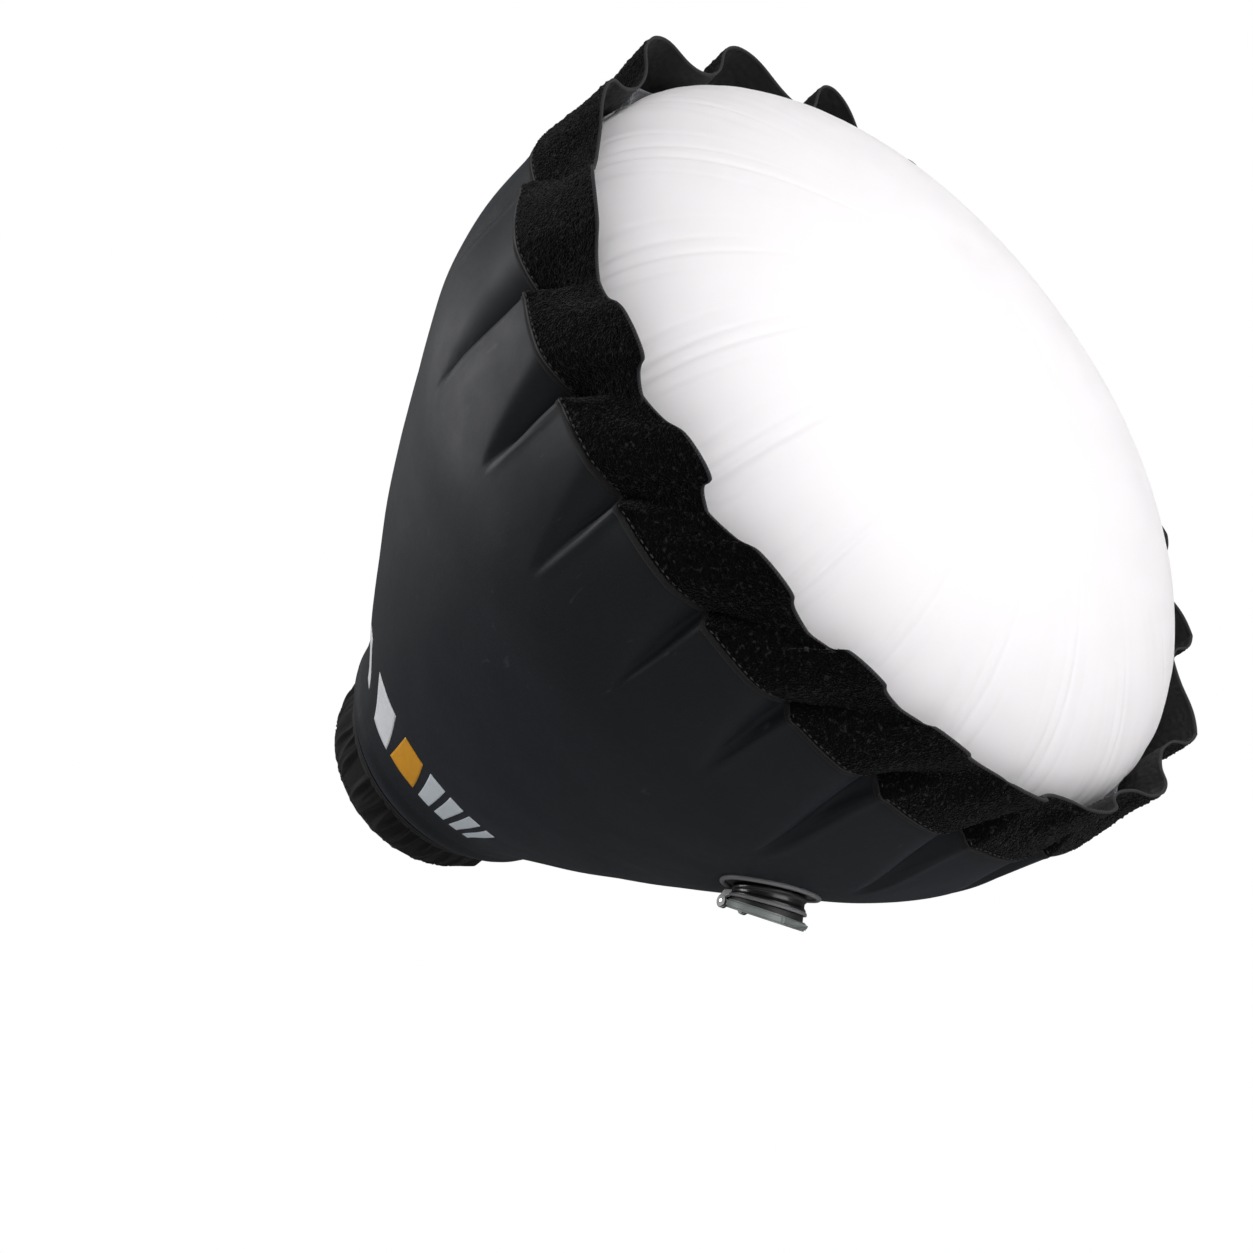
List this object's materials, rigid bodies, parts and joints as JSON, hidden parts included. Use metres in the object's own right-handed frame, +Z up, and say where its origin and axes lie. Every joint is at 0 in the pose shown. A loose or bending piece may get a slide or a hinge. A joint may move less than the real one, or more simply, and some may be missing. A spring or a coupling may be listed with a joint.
{
  "type": "inflatable softbox",
  "caption": "Inflatable fabric softbox: black cone, domed white diffuser, ruffled loop-tape rim, elastic lamp collar and a capped air valve.",
  "frame": {"origin": "centre of the collar's rear opening, on the light's axis", "axes": "-Y along the light, out of the front; +Y towards the lamp; +Z up; the air valve is at the bottom, on the -Z side"},
  "size_m": [0.5264, 0.5575, 0.5264],
  "materials": {
    "shell": "matt coated cloth",
    "silver_film": "silver film",
    "diffuser": "translucent white coated cloth",
    "clear_film": "clear film",
    "loop_tape": "brushed loop pile",
    "binding": "woven tape",
    "elastic": "gathered stretch cloth",
    "silicone": "matt",
    "hoop": "fine grain",
    "valve_black": "satin",
    "valve_cap": "satin grey-green",
    "steel": "bright"
  },
  "bodies": {
    "chamber": {"rear_shell": "shell", "reflective_lining": "silver_film", "front_diffuser": "diffuser", "rim_weld_flange": "clear_film", "rim_binding": "binding", "loop_band": "loop_tape", "shoulder_binding": "binding", "neck_cuff": "elastic", "cuff_elastic": "silicone", "cuff_grip_band": "silicone", "window_ring": "hoop", "rear_window": "clear_film", "valve_flange": "clear_film", "valve_housing": "valve_black", "cap_hinge_pin": "steel"},
    "core": {"valve_core": "valve_black", "core_o_ring": "silicone", "stem_spring": "steel"},
    "stem": {"valve_stem": "valve_black", "valve_diaphragm": "silicone", "stem_retainer": "steel"},
    "cap": {"valve_cap": "valve_cap", "cap_gasket": "silicone"}
  },
  "joints": [
    {"name": "cap_hinge", "type": "hinge", "parent": "chamber", "child": "cap", "pos_m": [0, -0.29033, -0.22729], "axis": [1, 0, 0], "range_deg": [0, 150]},
    {"name": "core_twist", "type": "hinge", "parent": "chamber", "child": "core", "pos_m": [0, -0.318, -0.2303], "axis": [0, 0.4067, -0.9135], "range_deg": [0, 60]},
    {"name": "stem_press", "type": "slide", "parent": "core", "child": "stem", "axis": [0, -0.4067, 0.9135], "range_m": [0, 0.0035], "stiffness_N_per_m": 250, "springref_m": -0.002, "deforming": ["stem_spring"]}
  ]
}
